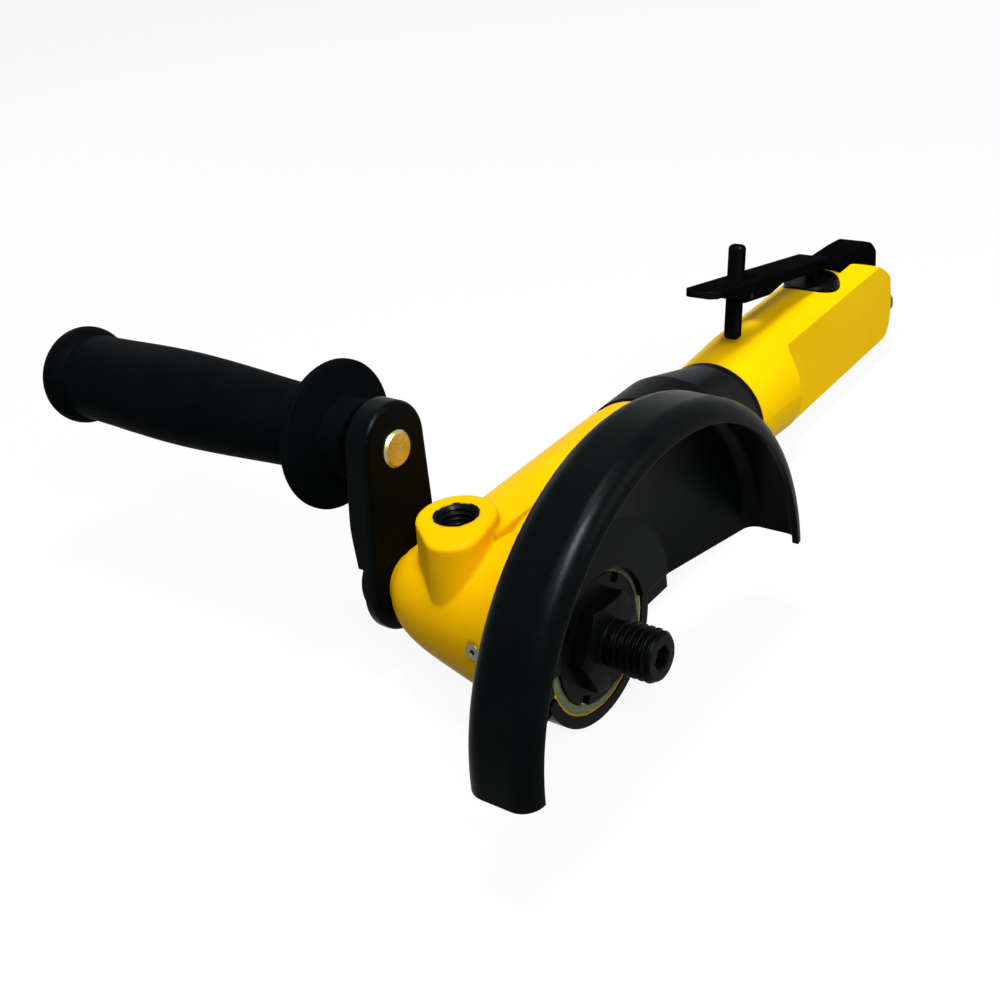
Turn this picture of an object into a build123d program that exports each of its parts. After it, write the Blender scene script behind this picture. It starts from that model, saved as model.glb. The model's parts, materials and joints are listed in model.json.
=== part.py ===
from build123d import *
import os
from math import cos, hypot, radians, sin

# Air grinder for a 125 mm wheel, in millimetres. The origin is the centre of the spindle's wheel
# seat. +X runs out along the spindle, +Y to the rear of the tool, +Z up to the throttle lever.

# Clearances
RUN = 0.05
FIT = 0.02
SLIDE = 0.1
ROOM = 0.4
STANDOFF = 0.2

# How far a cut runs past what it cuts
PAST = 5.0

# Body axis, along Y, which the bevel pair's apex lies on
BODY_X = -45.0

# Spindle
THREAD_R = 7.94
THREAD_LENGTH = 16.3
TIP_CHAMFER = 1.2
SOCKET_FLATS = 6.4
SOCKET_DEPTH = 9.0
HEX_FLATS = 26.4
HEX_LENGTH = 4.2
HEX_CHAMFER_R = 14.6
HEX_CHAMFER = 1.0
HEX_TURN = 56.7
SPINDLE_COLLAR_R = 10.0
LOWER_SEAT_R = 7.5
GEAR_SEAT_R = 7.0
SPINDLE_NECK_R = 5.0
UPPER_SEAT_R = 4.0
SNAP_GROOVE_R = 6.4
SNAP_RING_R = 9.0
SNAP_RING_WIDTH = 1.2

# Spindle bearings, seal and retainer
LOWER_BEARING_R = 17.5
LOWER_BEARING_WIDTH = 11.0
UPPER_BEARING_R = 11.0
UPPER_BEARING_WIDTH = 7.0
UPPER_BEARING_END_X = -68.5
SHIELD_DEPTH = 0.6
RACE = 2.2
RETAINER_R = 19.75
RETAINER_FACE_X = -4.6
RETAINER_WIDTH = 7.0
RETAINER_NOTCHES = 4
NOTCH_WIDTH = 4.0
NOTCH_DEPTH = 2.0
NOTCH_REACH = 3.0
SEAL_R = 13.0
SEAL_INSET = 1.0
SEAL_STANDOFF = 0.5

# Bevel pair
MODULE = 1.25
GEAR_TEETH = 26
PINION_TEETH = 14
TOOTH_FACE = 6.0
ADDENDUM = 0.8 * MODULE
DEDENDUM = 1.25 * MODULE
TOOTH_TIP_HALF = 0.28 * MODULE
TOOTH_ROOT_HALF = 1.1 * MODULE
TOOTH_SINK = 0.5
GEAR_HUB_R = 10.0
GEAR_NOSE_R = 8.6
GEAR_WEB = 4.0
GEAR_NOSE = 4.0
PINION_HUB_R = 7.0
PINION_BORE_R = 3.5
PINION_SEAT = 8.0
PINION_SETBACK = 10.0
KEY_SIZE = 3.0
KEY_LENGTH = 10.0
KEY_SETBACK = 2.0

# Angle housing: cone-shaped head about the spindle, then the neck about the body axis
NOSE_R = 23.3
NOSE_FACE_X = -5.5
NOSE_BACK_X = -17.0
HEAD_TOP_X = -76.5
HEAD_LINE = [(-20, 27.2), (-34, 25.1), (-48, 22.2), (-62, 18.7), (-69.5, 15.4), (-74, 11.6)]
HEAD_TOP_R = 9.5
SPIGOT_R = 8.0
GEAR_CHAMBER_R = 17.15
CHAMBER_END_X = -48.0
UPPER_CHAMBER_R = 11.4
PINION_CHAMBER_R = 11.5
NECK_R = 26.3
SPINE_R = 27.0
SPINE_X = (-66.0, -38.3)
SPINE_END_Y = 86.0
NECK_FRONT = [(-6, 17.0), (8, 24.2), (24, 26.3)]
NECK_END_Y = 92.0
LAND_R = 24.9
LAND_LENGTH = 11.0
MOTOR_BORE_R = 23.0
MOTOR_SEAT_Y = 34.0
EXHAUST_SLOTS = 5
EXHAUST_SLOT = (3.0, 20.0)
EXHAUST_PITCH = 18.0
EXHAUST_Y = 74.0

# Boss with the second handle thread
BOSS_TOP_Z = 30.5
BOSS_HOLE = (-51.5, -0.7)
BOSS_R = 12.3
BOSS_LOBE = (-45.5, -10.0)
BOSS_LOBE_R = 8.5
BOSS_DRAFT = 4.0
BOSS_EDGE_R = 1.2
INSERT_R = 7.0
INSERT_LENGTH = 12.0
INSERT_SINK = 0.3

# Grease fitting
GREASE_X = -31.0
GREASE_TURN = 173.0
GREASE_R = 2.6
GREASE_OUT_R = 25.9
GREASE_IN_R = 19.0
GREASE_DIMPLE = 1.5

# Wheel guard and its clamp
GUARD_R = 74.25
GUARD_SHEET = 2.0
GUARD_HOLE_R = 21.6
GUARD_BACK_X = -5.0
GUARD_FLAT_R = 36.5
GUARD_CORNER_X = 4.1
GUARD_LIP_X = 24.25
GUARD_LIP = 6.4
GUARD_BENDS = (6.0, 6.5, 6.0)
GUARD_END_Z = 2.25
GUARD_TURN = -0.75
EAR_Y = 38.0
EAR_Z = -4.2
COLLAR_R = 27.0
COLLAR_X = (-16.0, GUARD_BACK_X)
LUG_FRONT_X = -6.6
LUG_ROOT = 2.0
LUG_TURN = 194.0
LUG_REACH = 38.0
LUG_THICK = 5.0
LUG_SPLIT = 2.0
CLAMP_R = 2.5
CLAMP_EDGE = 5.5
CLAMP_HEAD_R = 4.2
CLAMP_HEAD = 5.0
CLAMP_NUT_FLATS = 8.0
CLAMP_NUT = 4.0
CLAMP_TAIL = 1.0
CLAMP_SOCKET_FLATS = 4.0
CLAMP_SOCKET = 2.5

# Motor
ROTOR_R = 15.8
ROTOR_Y = (46.2, 103.8)
ROTOR_SHAFT_R = 5.0
ROTOR_END_GAP = 0.5
ROTOR_BEARING_R = 13.0
ROTOR_BEARING_WIDTH = 7.8
VANES = 5
VANE_THICK = 2.0
VANE_DEPTH = 7.0
CYLINDER_BORE_R = 18.5
CYLINDER_OFFSET = 2.5
PLATE_WEB = 3.7
FRONT_PLATE = 12.0
REAR_PLATE = 11.0
MOTOR_PIN_R = 1.5
MOTOR_PIN_Z = 19.6
MOTOR_PIN_SEAT = 5.0
PORT_R = 2.5
PORT_AT_R = 17.0

# Coupling nut
COUPLING_R = 27.0
COUPLING_CONE_Y = 112.0
COUPLING_REAR_Y = 137.0
COUPLING_REAR_R = 20.4
COUPLING_END_Y = 139.7
COUPLING_EDGE = 0.8

# Throttle housing
HOUSING_Y = 140.0
HOUSING_FRONT_R = 20.6
HOUSING_R = 22.1
HOUSING_FULL_Y = 168.0
HOUSING_END_Y = 267.0
HOUSING_EDGES = (0.8, 40.0, 9.0)
FLANGE_R = 22.8
FLANGE_WIDTH = 5.4
SPIGOT_BODY_R = 18.1
FLAT_X = 14.5
FLAT_Y = 170.0
FLAT_RUNOUT = 5.0
FLAT_LEAD = 4.6
FLAT_RISE = 11.6
REAR_SLOPE = [(-34.0, 22.8), (-15.0, 18.4), (2.0, 5.8)]
HUB_SLOT_Z = 5.5
HUB_SLOT_WALL = 1.0
PASSAGE_R = 3.6
PASSAGE_Z = 2.0
FLANGE_HOLLOW_R = 12.0

# Air inlet
INLET_Z = -8.4
INLET_R = 10.5
INLET_OUT = 12.0
INLET_STEM_R = 8.4
INLET_STEM = 17.0
INLET_STEM_GAP = 1.0
INLET_FLATS = 19.8
INLET_THREAD_R = 6.6
INLET_THREAD_DEPTH = 14.0
INLET_PASSAGE_R = 5.5
SCREEN_R = 5.0
SCREEN_LENGTH = 9.0
SCREEN_FLOOR = 1.0
SCREEN_WALL = 0.8

# Throttle valve, along Z
VALVE_AHEAD = 30.2
SEAT_Z = -1.0
SEAT_R = 4.2
CHAMBER_R = 7.5
VALVE_HEAD_R = 6.2
VALVE_HEAD = 4.0
WAIST_R = 1.6
PLUNGER_R = 2.4
PLUNGER_FOOT_Z = 7.0
PLUNGER_CONE = 0.8
PLUNGER_CROWN = 1.2
PLUNGER_GAP = 0.3
BUSH_Z = (6.0, 17.8)
BUSH_HEAD_R = 10.9
BUSH_HEAD = 4.8
BUSH_EDGE = 0.8
CAP_TOP_Z = -13.0
CAP_BOTTOM_Z = -21.4
CAP_SOCKET_FLATS = 6.0
CAP_SOCKET = 4.0
CAP_GROOVE = (1.6, 3.4)
CAP_SEAL_WIRE = 1.2
SPRING_R = 4.2
SPRING_WIRE = 0.8
SPRING_TURNS = 4

# Throttle lever: drawn level about its pin as (forward, up), then sloped
PIVOT_SETBACK = 15.0
PIVOT_Z = 11.5
LEVER_SLOPE = 12.0
LEVER_HALF = 7.0
LEVER_TOP = 13.65
LEVER_WEB = 2.6
LEVER_SKIRT = 2.0
LEVER_TIP = 124.5
LEVER_HOLLOW = (25.0, 112.0)
TIP_CORNER_R = 6.5
LEVER_EDGE_R = 0.85
HUB_HALF = 6.2
HUB_EDGE_R = 1.2
LEVER_PIN_R = 2.0
LEVER_PIN_HALF = 14.0
LEVER_UNDER = LEVER_TOP - LEVER_WEB
LEVER_SIDE = [
    (LEVER_TIP, LEVER_TOP), (LEVER_TIP, LEVER_UNDER), (117.0, LEVER_UNDER), (100.5, 6.3), (81.0, 6.3),
    (71.0, 9.2), (21.5, 9.2), (22.0, 11.2), (31.0, LEVER_TOP),
]
LEVER_SIDE_R = (1.2, 1.2, 8.0, 6.0, 8.0, 8.0, 0.9, 0.9, 4.0)
HUB_SIDE = [
    (28.0, 11.8), (20.0, 11.9), (6.0, 14.2), (-5.0, 15.4), (-13.0, 13.8), (-18.0, 10.2), (-19.5, 1.5),
    (-8.0, -3.0), (0.0, -5.5), (7.0, -3.5), (12.0, 3.2), (18.8, 9.2), (28.0, 9.2),
]
HUB_SIDE_R = (1.25, 8.0, 12.0, 12.0, 8.0, 3.0, 3.0, 4.0, 4.0, 4.0, 4.0, 4.0, 1.25)

# Lock-off bar in the lever
LOCK_U = 96.3
LOCK_PIN_W = 8.6
LOCK_PIN_R = 1.2
LOCK_HALF = 3.0
LOCK_THICK = 5.0
LOCK_TOP = 26.5
LOCK_FOOT = -8.4
LOCK_SLOT_REAR = 81.5
LOCK_SLOT_FRONT = 1.0
LOCK_EDGE_R = 1.9
LOCK_END_R = 1.8

# Side handle: arm about the spindle axis, then the grip along X
ARM_LEAN = 6.0
ARM_EYE_R = 16.4
ARM_END_R = 13.7
ARM_END_AT = 46.1
ARM_THICK = 9.3
ARM_SLOPE_AT = 27.0
ARM_STEP_THICK = 6.0
ARM_STEP_AT = 9.5
ARM_EYE_THICK = 4.0
ARM_EDGE_R = 1.6
GRIP_AT = 45.0
STUD_R = 6.0
STUD_PROUD = 1.2
STUD_END_X = -190.0
STUD_CHAMFER = 0.8
ARM_BOLT_R = 4.0
ARM_BOLT_TIP_GAP = 1.0
ARM_BOLT_WALL = 2.0
ARM_BOLT_HEAD_FLATS = 13.0
ARM_BOLT_HEAD = 4.0
ARM_WASHER_R = 12.0
ARM_WASHER = 5.3
SPACER_R = 10.0
SPACER = 3.0
GRIP_HUB_R = 12.5
GRIP_FLANGE_R = 24.0
GRIP_FLANGE_X = (-100.2, -102.4)
GRIP_FLANGE_DRAFT = 2.7
GRIP_FLANGE_EDGE = 0.9
GRIP_LINE = [(-104.6, 13.3), (-114, 13.5), (-136, 14.7), (-172, 16.3), (-205, 15.6), (-219.5, 15.2)]
KNOB_LINE = [(-219.5, 15.2), (-222, 16.9), (-226, 17.6), (-229.5, 16.3), (-231.7, 11.8), (-232.3, 0)]

# Places that follow from the sizes above
ON_BODY = (BODY_X, 0, 0)
BEARING_FRONT_X = RETAINER_FACE_X - RETAINER_WIDTH
BEARING_BACK_X = BEARING_FRONT_X - LOWER_BEARING_WIDTH
UPPER_BEARING_X = UPPER_BEARING_END_X + UPPER_BEARING_WIDTH
GEAR_PITCH_R = MODULE * GEAR_TEETH / 2
PINION_PITCH_R = MODULE * PINION_TEETH / 2
CONE_LENGTH = hypot(GEAR_PITCH_R, PINION_PITCH_R)
TOOTH_INNER = 1 - TOOTH_FACE / CONE_LENGTH
SNAP_RING_X = BODY_X + GEAR_NOSE - SLIDE
CYLINDER_R = MOTOR_BORE_R - FIT
FRONT_PLATE_Y = (MOTOR_SEAT_Y, MOTOR_SEAT_Y + FRONT_PLATE)
REAR_PLATE_Y = (ROTOR_Y[1] + STANDOFF, ROTOR_Y[1] + STANDOFF + REAR_PLATE)
PINION_END_Y = MOTOR_SEAT_Y - PINION_SETBACK
LAND_END_Y = NECK_END_Y + LAND_LENGTH
SPIGOT_END_X = HEAD_TOP_X - ARM_EYE_THICK + SLIDE
ARM_BACK_X = HEAD_TOP_X - SLIDE - ARM_THICK
ARM_EYE_BACK_X = HEAD_TOP_X - SLIDE - ARM_EYE_THICK
WASHER_X = ARM_EYE_BACK_X - SLIDE
STUD_Y = GRIP_AT * sin(radians(ARM_LEAN))
STUD_Z = GRIP_AT * cos(radians(ARM_LEAN))
ON_STUD = (0, STUD_Y, STUD_Z)
GRIP_X = ARM_BACK_X - SPACER
PIVOT_Y = HOUSING_END_Y - PIVOT_SETBACK
VALVE_Y = PIVOT_Y - VALVE_AHEAD
ON_VALVE = (BODY_X, VALVE_Y, 0)
ON_INLET = (BODY_X, 0, INLET_Z)
ON_PIVOT = (BODY_X, PIVOT_Y, PIVOT_Z)
FLANGE_Y = REAR_PLATE_Y[1] + SLIDE
FLANGE_END_Y = FLANGE_Y + FLANGE_WIDTH
INLET_STEM_Y = HOUSING_END_Y - INLET_STEM + INLET_STEM_GAP
LUG_HALF = LUG_THICK + LUG_SPLIT / 2
ON_CLAMP = ((COLLAR_X[0] + LUG_FRONT_X) / 2, LUG_REACH - CLAMP_EDGE, 0)
CAP_GROOVE_Z = (CAP_TOP_Z - CAP_GROOVE[1], CAP_TOP_Z - CAP_GROOVE[0])

WAYS = {
    "x": (Axis.X, lambda along, radius: (along, radius, 0)),
    "y": (Axis.Y, lambda along, radius: (radius, along, 0)),
    "z": (Axis.Z, lambda along, radius: (radius, 0, along)),
}


def turned(way, lines, at=(0, 0, 0)):
    """Solid turned about a line along X, Y or Z from curves drawn as (along, radius)."""
    axis = WAYS[way][0]
    edges = [edge for line in lines for edge in line.edges()]
    return Pos(*at) * revolve(make_face(edges), axis)


def path(way, points, close=False):
    """Straight outline of (along, radius) points for a turned solid."""
    place = WAYS[way][1]
    return Polyline(*[place(*point) for point in points], close=close)


def curve(way, points):
    """Smooth outline through (along, radius) points for a turned solid."""
    place = WAYS[way][1]
    return Spline(*[place(*point) for point in points])


def spun(way, points, at=(0, 0, 0)):
    """Solid turned from one closed straight outline of (along, radius) points."""
    return turned(way, [path(way, points, close=True)], at)


def ring(way, start, end, inner, outer, at=(0, 0, 0)):
    """Plain ring, or a rod where the inner radius is 0."""
    return spun(way, [(start, inner), (start, outer), (end, outer), (end, inner)], at)


def rod(way, start, end, radius, at=(0, 0, 0)):
    return ring(way, start, end, 0, radius, at)


def hexagon(way, start, end, flats, at=(0, 0, 0), turn=0):
    """Hexagonal prism along X, Y or Z with a corner at the given turn."""
    planes = {
        "x": Plane((start, 0, 0), (0, 1, 0), (1, 0, 0)),
        "y": Plane((0, start, 0), (1, 0, 0), (0, 1, 0)),
        "z": Plane((0, 0, start), (1, 0, 0), (0, 0, 1)),
    }
    outline = RegularPolygon(flats / 2, 6, major_radius=False, rotation=turn)
    return Pos(*at) * extrude(planes[way] * outline, end - start)


def block(x, y, z):
    """Box between the given pairs of limits."""
    middle = [(low + high) / 2 for low, high in (x, y, z)]
    return Pos(*middle) * Box(x[1] - x[0], y[1] - y[0], z[1] - z[0])


def bearing(way, start, width, inner, outer, at=(0, 0, 0)):
    """Shielded ball bearing with its two races standing proud of the shields."""
    end = start + width
    low = inner + RACE
    high = outer - RACE
    front = [(start, high), (start + SHIELD_DEPTH, high), (start + SHIELD_DEPTH, low), (start, low)]
    back = [(end, low), (end - SHIELD_DEPTH, low), (end - SHIELD_DEPTH, high), (end, high)]
    return spun(way, [(start, outer)] + front + [(start, inner), (end, inner)] + back + [(end, outer)], at)


def bevel_teeth(count, pitch_r, mate_r, turn):
    """Straight bevel teeth about Z, narrowing to the apex at the origin."""
    outward = (mate_r / CONE_LENGTH, -pitch_r / CONE_LENGTH)
    corners = []
    for half, height in ((TOOTH_ROOT_HALF, -DEDENDUM - TOOTH_SINK), (TOOTH_TIP_HALF, ADDENDUM)):
        radius = pitch_r + outward[0] * height
        along = mate_r + outward[1] * height
        corners.append([(radius, -half, along), (radius, half, along)])
    outline = [corners[0][0], corners[0][1], corners[1][1], corners[1][0]]
    ends = [[Vector(*point) * scale for point in outline] for scale in (1, TOOTH_INNER)]
    sides = []
    for near in range(4):
        far = (near + 1) % 4
        sides.append([ends[0][near], ends[0][far], ends[1][far], ends[1][near]])
    tooth = Solid(Shell([make_face(Polyline(*corner, close=True)).face() for corner in ends + sides]))
    return [Rot(Z=turn + 360 / count * number) * tooth for number in range(count)]


def root_line(pitch_r, mate_r):
    """Outer and inner end of a bevel gear's root cone as (along, radius)."""
    radius = pitch_r - mate_r / CONE_LENGTH * DEDENDUM
    along = mate_r + pitch_r / CONE_LENGTH * DEDENDUM
    return (along, radius), (along * TOOTH_INNER, radius * TOOTH_INNER)


def ring_gear():
    outer, inner = root_line(GEAR_PITCH_R, PINION_PITCH_R)
    web_end = outer[0] + GEAR_WEB
    hub_end = BEARING_BACK_X - SLIDE - BODY_X
    bore = GEAR_SEAT_R + FIT
    body = spun("z", [
        (GEAR_NOSE, bore), (GEAR_NOSE, GEAR_NOSE_R), (inner[0], GEAR_NOSE_R), inner, outer,
        (web_end, outer[1]), (web_end, GEAR_HUB_R), (hub_end, GEAR_HUB_R), (hub_end, bore),
    ])
    gear = body + bevel_teeth(GEAR_TEETH, GEAR_PITCH_R, PINION_PITCH_R, 0)
    on_spindle = Plane(ON_BODY, (0, 1, 0), (1, 0, 0)).location
    return on_spindle * gear - key_slot()


def pinion():
    outer, inner = root_line(PINION_PITCH_R, GEAR_PITCH_R)
    bore = PINION_BORE_R + FIT
    body = spun("z", [
        (inner[0], bore), inner, outer, (outer[0], PINION_HUB_R),
        (PINION_END_Y, PINION_HUB_R), (PINION_END_Y, bore),
    ])
    half_pitch = 180 / PINION_TEETH
    gear = body + bevel_teeth(PINION_TEETH, PINION_PITCH_R, GEAR_PITCH_R, half_pitch)
    return Plane(ON_BODY, (1, 0, 0), (0, 1, 0)).location * gear


def key_box(room):
    """Key across the joint of spindle and ring gear, on the side away from the pinion."""
    half = KEY_SIZE / 2 + room
    start = BEARING_BACK_X - KEY_SETBACK
    middle = -GEAR_SEAT_R
    return block((start - KEY_LENGTH - room, start + room), (middle - half, middle + half), (-half, half))


def key_slot():
    return key_box(FIT)


def gear_key():
    return key_box(0)


def spindle():
    body = spun("x", [
        (THREAD_LENGTH, 0), (THREAD_LENGTH, THREAD_R - TIP_CHAMFER / 2),
        (THREAD_LENGTH - TIP_CHAMFER, THREAD_R), (-HEX_LENGTH / 2, THREAD_R),
        (-HEX_LENGTH / 2, SPINDLE_COLLAR_R), (BEARING_FRONT_X, SPINDLE_COLLAR_R),
        (BEARING_FRONT_X, LOWER_SEAT_R), (BEARING_BACK_X, LOWER_SEAT_R), (BEARING_BACK_X, GEAR_SEAT_R),
        (SNAP_RING_X, GEAR_SEAT_R), (SNAP_RING_X, SNAP_GROOVE_R),
        (SNAP_RING_X - SNAP_RING_WIDTH - SLIDE, SNAP_GROOVE_R),
        (SNAP_RING_X - SNAP_RING_WIDTH - SLIDE, GEAR_SEAT_R),
        (SNAP_RING_X - 2 * SNAP_RING_WIDTH, GEAR_SEAT_R),
        (SNAP_RING_X - 2 * SNAP_RING_WIDTH, SPINDLE_NECK_R),
        (UPPER_BEARING_X + SLIDE, SPINDLE_NECK_R), (UPPER_BEARING_X + SLIDE, UPPER_SEAT_R),
        (UPPER_BEARING_END_X + SLIDE, UPPER_SEAT_R), (UPPER_BEARING_END_X + SLIDE, 0),
    ])
    flange = hexagon("x", -HEX_LENGTH, 0, HEX_FLATS, turn=HEX_TURN)
    flange &= spun("x", [
        (-HEX_LENGTH, 0), (-HEX_LENGTH, HEX_FLATS), (-HEX_CHAMFER, HEX_FLATS),
        (0, HEX_CHAMFER_R), (0, 0),
    ])
    socket_x = (THREAD_LENGTH - SOCKET_DEPTH, THREAD_LENGTH)
    socket = hexagon("x", *socket_x, SOCKET_FLATS, turn=HEX_TURN)
    return body + flange - socket - key_slot()


def gear_retaining_ring():
    return ring("x", SNAP_RING_X - SNAP_RING_WIDTH, SNAP_RING_X, SNAP_GROOVE_R + FIT, SNAP_RING_R)


def bearing_retainer():
    body = ring("x", BEARING_FRONT_X, RETAINER_FACE_X, SEAL_R + FIT, RETAINER_R)
    half = NOTCH_WIDTH / 2
    reach = (RETAINER_R - NOTCH_REACH, RETAINER_R + PAST)
    notch = block((RETAINER_FACE_X - NOTCH_DEPTH, RETAINER_FACE_X + PAST), reach, (-half, half))
    for number in range(RETAINER_NOTCHES):
        body -= Rot(X=HEX_TURN + 360 / RETAINER_NOTCHES * number) * notch
    return body


def spindle_seal():
    start = BEARING_FRONT_X + SEAL_STANDOFF
    return ring("x", start, RETAINER_FACE_X - SEAL_INSET, SPINDLE_COLLAR_R + RUN, SEAL_R)


def lower_bearing():
    return bearing("x", BEARING_BACK_X, LOWER_BEARING_WIDTH, LOWER_SEAT_R + RUN, LOWER_BEARING_R - FIT)


def upper_bearing():
    outer = UPPER_BEARING_R - FIT
    return bearing("x", UPPER_BEARING_END_X, UPPER_BEARING_WIDTH, UPPER_SEAT_R + RUN, outer)


def head_form():
    """Head about the spindle axis, with the nose for the guard and the spigot for the arm."""
    start = HEAD_LINE[0]
    end = HEAD_LINE[-1]
    rest = [
        end, (HEAD_TOP_X, HEAD_TOP_R), (HEAD_TOP_X, SPIGOT_R), (SPIGOT_END_X, SPIGOT_R), (SPIGOT_END_X, 0),
        (NOSE_FACE_X, 0), (NOSE_FACE_X, NOSE_R), (NOSE_BACK_X, NOSE_R), (NOSE_BACK_X, start[1]), start,
    ]
    return turned("x", [curve("x", HEAD_LINE), path("x", rest)])


def neck_form():
    """Neck about the body axis, with a rounded front end and the land for the coupling nut."""
    front = NECK_FRONT[0]
    rest = [
        NECK_FRONT[-1], (NECK_END_Y, NECK_R), (NECK_END_Y, LAND_R), (LAND_END_Y, LAND_R),
        (LAND_END_Y, 0), (front[0], 0), front,
    ]
    neck = turned("y", [curve("y", NECK_FRONT), path("y", rest)], ON_BODY)
    spine = rod("y", 0, SPINE_END_Y, SPINE_R, ON_BODY)
    spine &= block(SPINE_X, (0, SPINE_END_Y), (0, SPINE_R + PAST))
    return neck + spine


def boss_form():
    outline = make_hull(
        (Pos(*BOSS_HOLE) * Circle(BOSS_R)).edges() + (Pos(*BOSS_LOBE) * Circle(BOSS_LOBE_R)).edges()
    )
    boss = Pos(0, 0, BOSS_TOP_Z) * extrude(outline, -BOSS_TOP_Z, taper=-BOSS_DRAFT)
    return fillet(boss.faces().sort_by(Axis.Z)[-1].edges(), BOSS_EDGE_R)


def exhaust_slots(inner, outer):
    """Slots in the lower side that let the motor's air out."""
    width, length = EXHAUST_SLOT
    ends = (EXHAUST_Y - length / 2, EXHAUST_Y + length / 2)
    slot = block((-width / 2, width / 2), ends, (-outer, -inner))
    span = EXHAUST_PITCH * (EXHAUST_SLOTS - 1)
    turns = [EXHAUST_PITCH * number - span / 2 for number in range(EXHAUST_SLOTS)]
    return [Pos(*ON_BODY) * Rot(Y=turn) * slot for turn in turns]


def grease_hole(radius, inner, outer):
    """Rod that stands square on the head's front at the grease fitting."""
    lying = rod("y", inner, outer, radius)
    return Pos(GREASE_X, 0, 0) * Rot(X=GREASE_TURN) * lying


def angle_housing():
    body = head_form() + neck_form() + boss_form()
    inside = spun("x", [
        (NOSE_FACE_X, 0), (NOSE_FACE_X, RETAINER_R + FIT), (BEARING_FRONT_X, RETAINER_R + FIT),
        (BEARING_FRONT_X, LOWER_BEARING_R), (BEARING_BACK_X, LOWER_BEARING_R),
        (BEARING_BACK_X, GEAR_CHAMBER_R), (CHAMBER_END_X, GEAR_CHAMBER_R),
        (CHAMBER_END_X, UPPER_CHAMBER_R), (UPPER_BEARING_X, UPPER_CHAMBER_R),
        (UPPER_BEARING_X, UPPER_BEARING_R), (UPPER_BEARING_END_X, UPPER_BEARING_R),
        (UPPER_BEARING_END_X, 0),
    ])
    motor = spun("y", [
        (0, 0), (0, PINION_CHAMBER_R), (MOTOR_SEAT_Y, PINION_CHAMBER_R),
        (MOTOR_SEAT_Y, MOTOR_BORE_R), (LAND_END_Y, MOTOR_BORE_R), (LAND_END_Y, 0),
    ], ON_BODY)
    body -= inside
    body -= motor
    body -= boss_rod(INSERT_R + FIT, INSERT_SINK + INSERT_LENGTH, 0)
    body -= rod("x", SPIGOT_END_X, UPPER_BEARING_END_X - ARM_BOLT_WALL, ARM_BOLT_R + FIT)
    body -= grease_hole(GREASE_R + FIT, GEAR_CHAMBER_R - PAST, GREASE_OUT_R + PAST)
    for slot in exhaust_slots(MOTOR_BORE_R - PAST, NECK_R + PAST):
        body -= slot
    return body


def boss_rod(radius, low, high):
    """Rod down the boss between two depths below its top."""
    return rod("z", BOSS_TOP_Z - low, BOSS_TOP_Z - high, radius, (*BOSS_HOLE, 0))


def handle_insert():
    """Steel thread insert in the boss, for the same stud as the side handle has."""
    ends = (INSERT_SINK + INSERT_LENGTH, INSERT_SINK)
    return boss_rod(INSERT_R, *ends) - boss_rod(STUD_R, *ends)


def grease_fitting():
    stem = grease_hole(GREASE_R, GREASE_IN_R, GREASE_OUT_R)
    return stem - grease_hole(GREASE_R / 3, GREASE_OUT_R - GREASE_DIMPLE, GREASE_OUT_R)


def guard_shell():
    """Half-round pressed guard: flat before the collar, dished plate, skirt and inward lip."""
    line = FilletPolyline(
        (GUARD_BACK_X, GUARD_HOLE_R), (GUARD_BACK_X, GUARD_FLAT_R), (GUARD_CORNER_X, GUARD_R),
        (GUARD_LIP_X, GUARD_R), (GUARD_LIP_X, GUARD_R - GUARD_LIP), radius=GUARD_BENDS,
    )
    section = make_face(offset(line, GUARD_SHEET, side=Side.RIGHT, closed=True))
    shell = revolve(section, Axis.X, 180)
    reach = GUARD_R + PAST
    shell -= block((GUARD_BACK_X - PAST, GUARD_LIP_X + PAST), (-reach, reach), (-PAST, GUARD_END_Z))
    return Rot(X=GUARD_TURN) * (shell + guard_ears())


def guard_ears():
    """Strip behind the flat that reaches down past the guard's ends on both sides of the collar."""
    strip = (LUG_FRONT_X, GUARD_BACK_X)
    return block(strip, (-EAR_Y, EAR_Y), (EAR_Z, GUARD_END_Z + GUARD_SHEET)) - rod("x", *strip, COLLAR_R)


def clamp_rod(start, end, radius):
    """Rod through both ears of the clamp, along Z before the clamp is turned to its place."""
    return rod("z", start, end, radius, ON_CLAMP)


def guard_collar():
    inner = NOSE_R + RUN
    body = ring("x", *COLLAR_X, inner, COLLAR_R)
    split = (-LUG_SPLIT / 2, LUG_SPLIT / 2)
    gap = block((COLLAR_X[0] - PAST, COLLAR_X[1] + PAST), (inner - PAST, LUG_REACH + PAST), split)
    lug = block((COLLAR_X[0], LUG_FRONT_X), (NOSE_R + LUG_ROOT, LUG_REACH), (-LUG_HALF, LUG_HALF))
    lug -= rod("x", COLLAR_X[0], LUG_FRONT_X, inner)
    body = Rot(X=-LUG_TURN) * body + lug - gap - clamp_rod(-LUG_HALF, LUG_HALF, CLAMP_R + FIT)
    return Rot(X=LUG_TURN) * (body - clamp_seats())


def clamp_seats():
    """Room for the clamp's screw head and nut, which cuts the collar's ring where the lugs are short."""
    head = clamp_rod(LUG_HALF, LUG_HALF + CLAMP_HEAD + PAST, CLAMP_HEAD_R + ROOM)
    nut = hexagon("z", -LUG_HALF - CLAMP_NUT - PAST, -LUG_HALF, CLAMP_NUT_FLATS + 2 * ROOM, ON_CLAMP)
    return head + nut


def clamp_screw():
    shank = clamp_rod(-LUG_HALF - CLAMP_NUT - CLAMP_TAIL, LUG_HALF, CLAMP_R)
    head = clamp_rod(LUG_HALF, LUG_HALF + CLAMP_HEAD, CLAMP_HEAD_R)
    head_end = LUG_HALF + CLAMP_HEAD
    socket = hexagon("z", head_end - CLAMP_SOCKET, head_end, CLAMP_SOCKET_FLATS, ON_CLAMP)
    return Rot(X=LUG_TURN) * (shank + head - socket)


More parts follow.
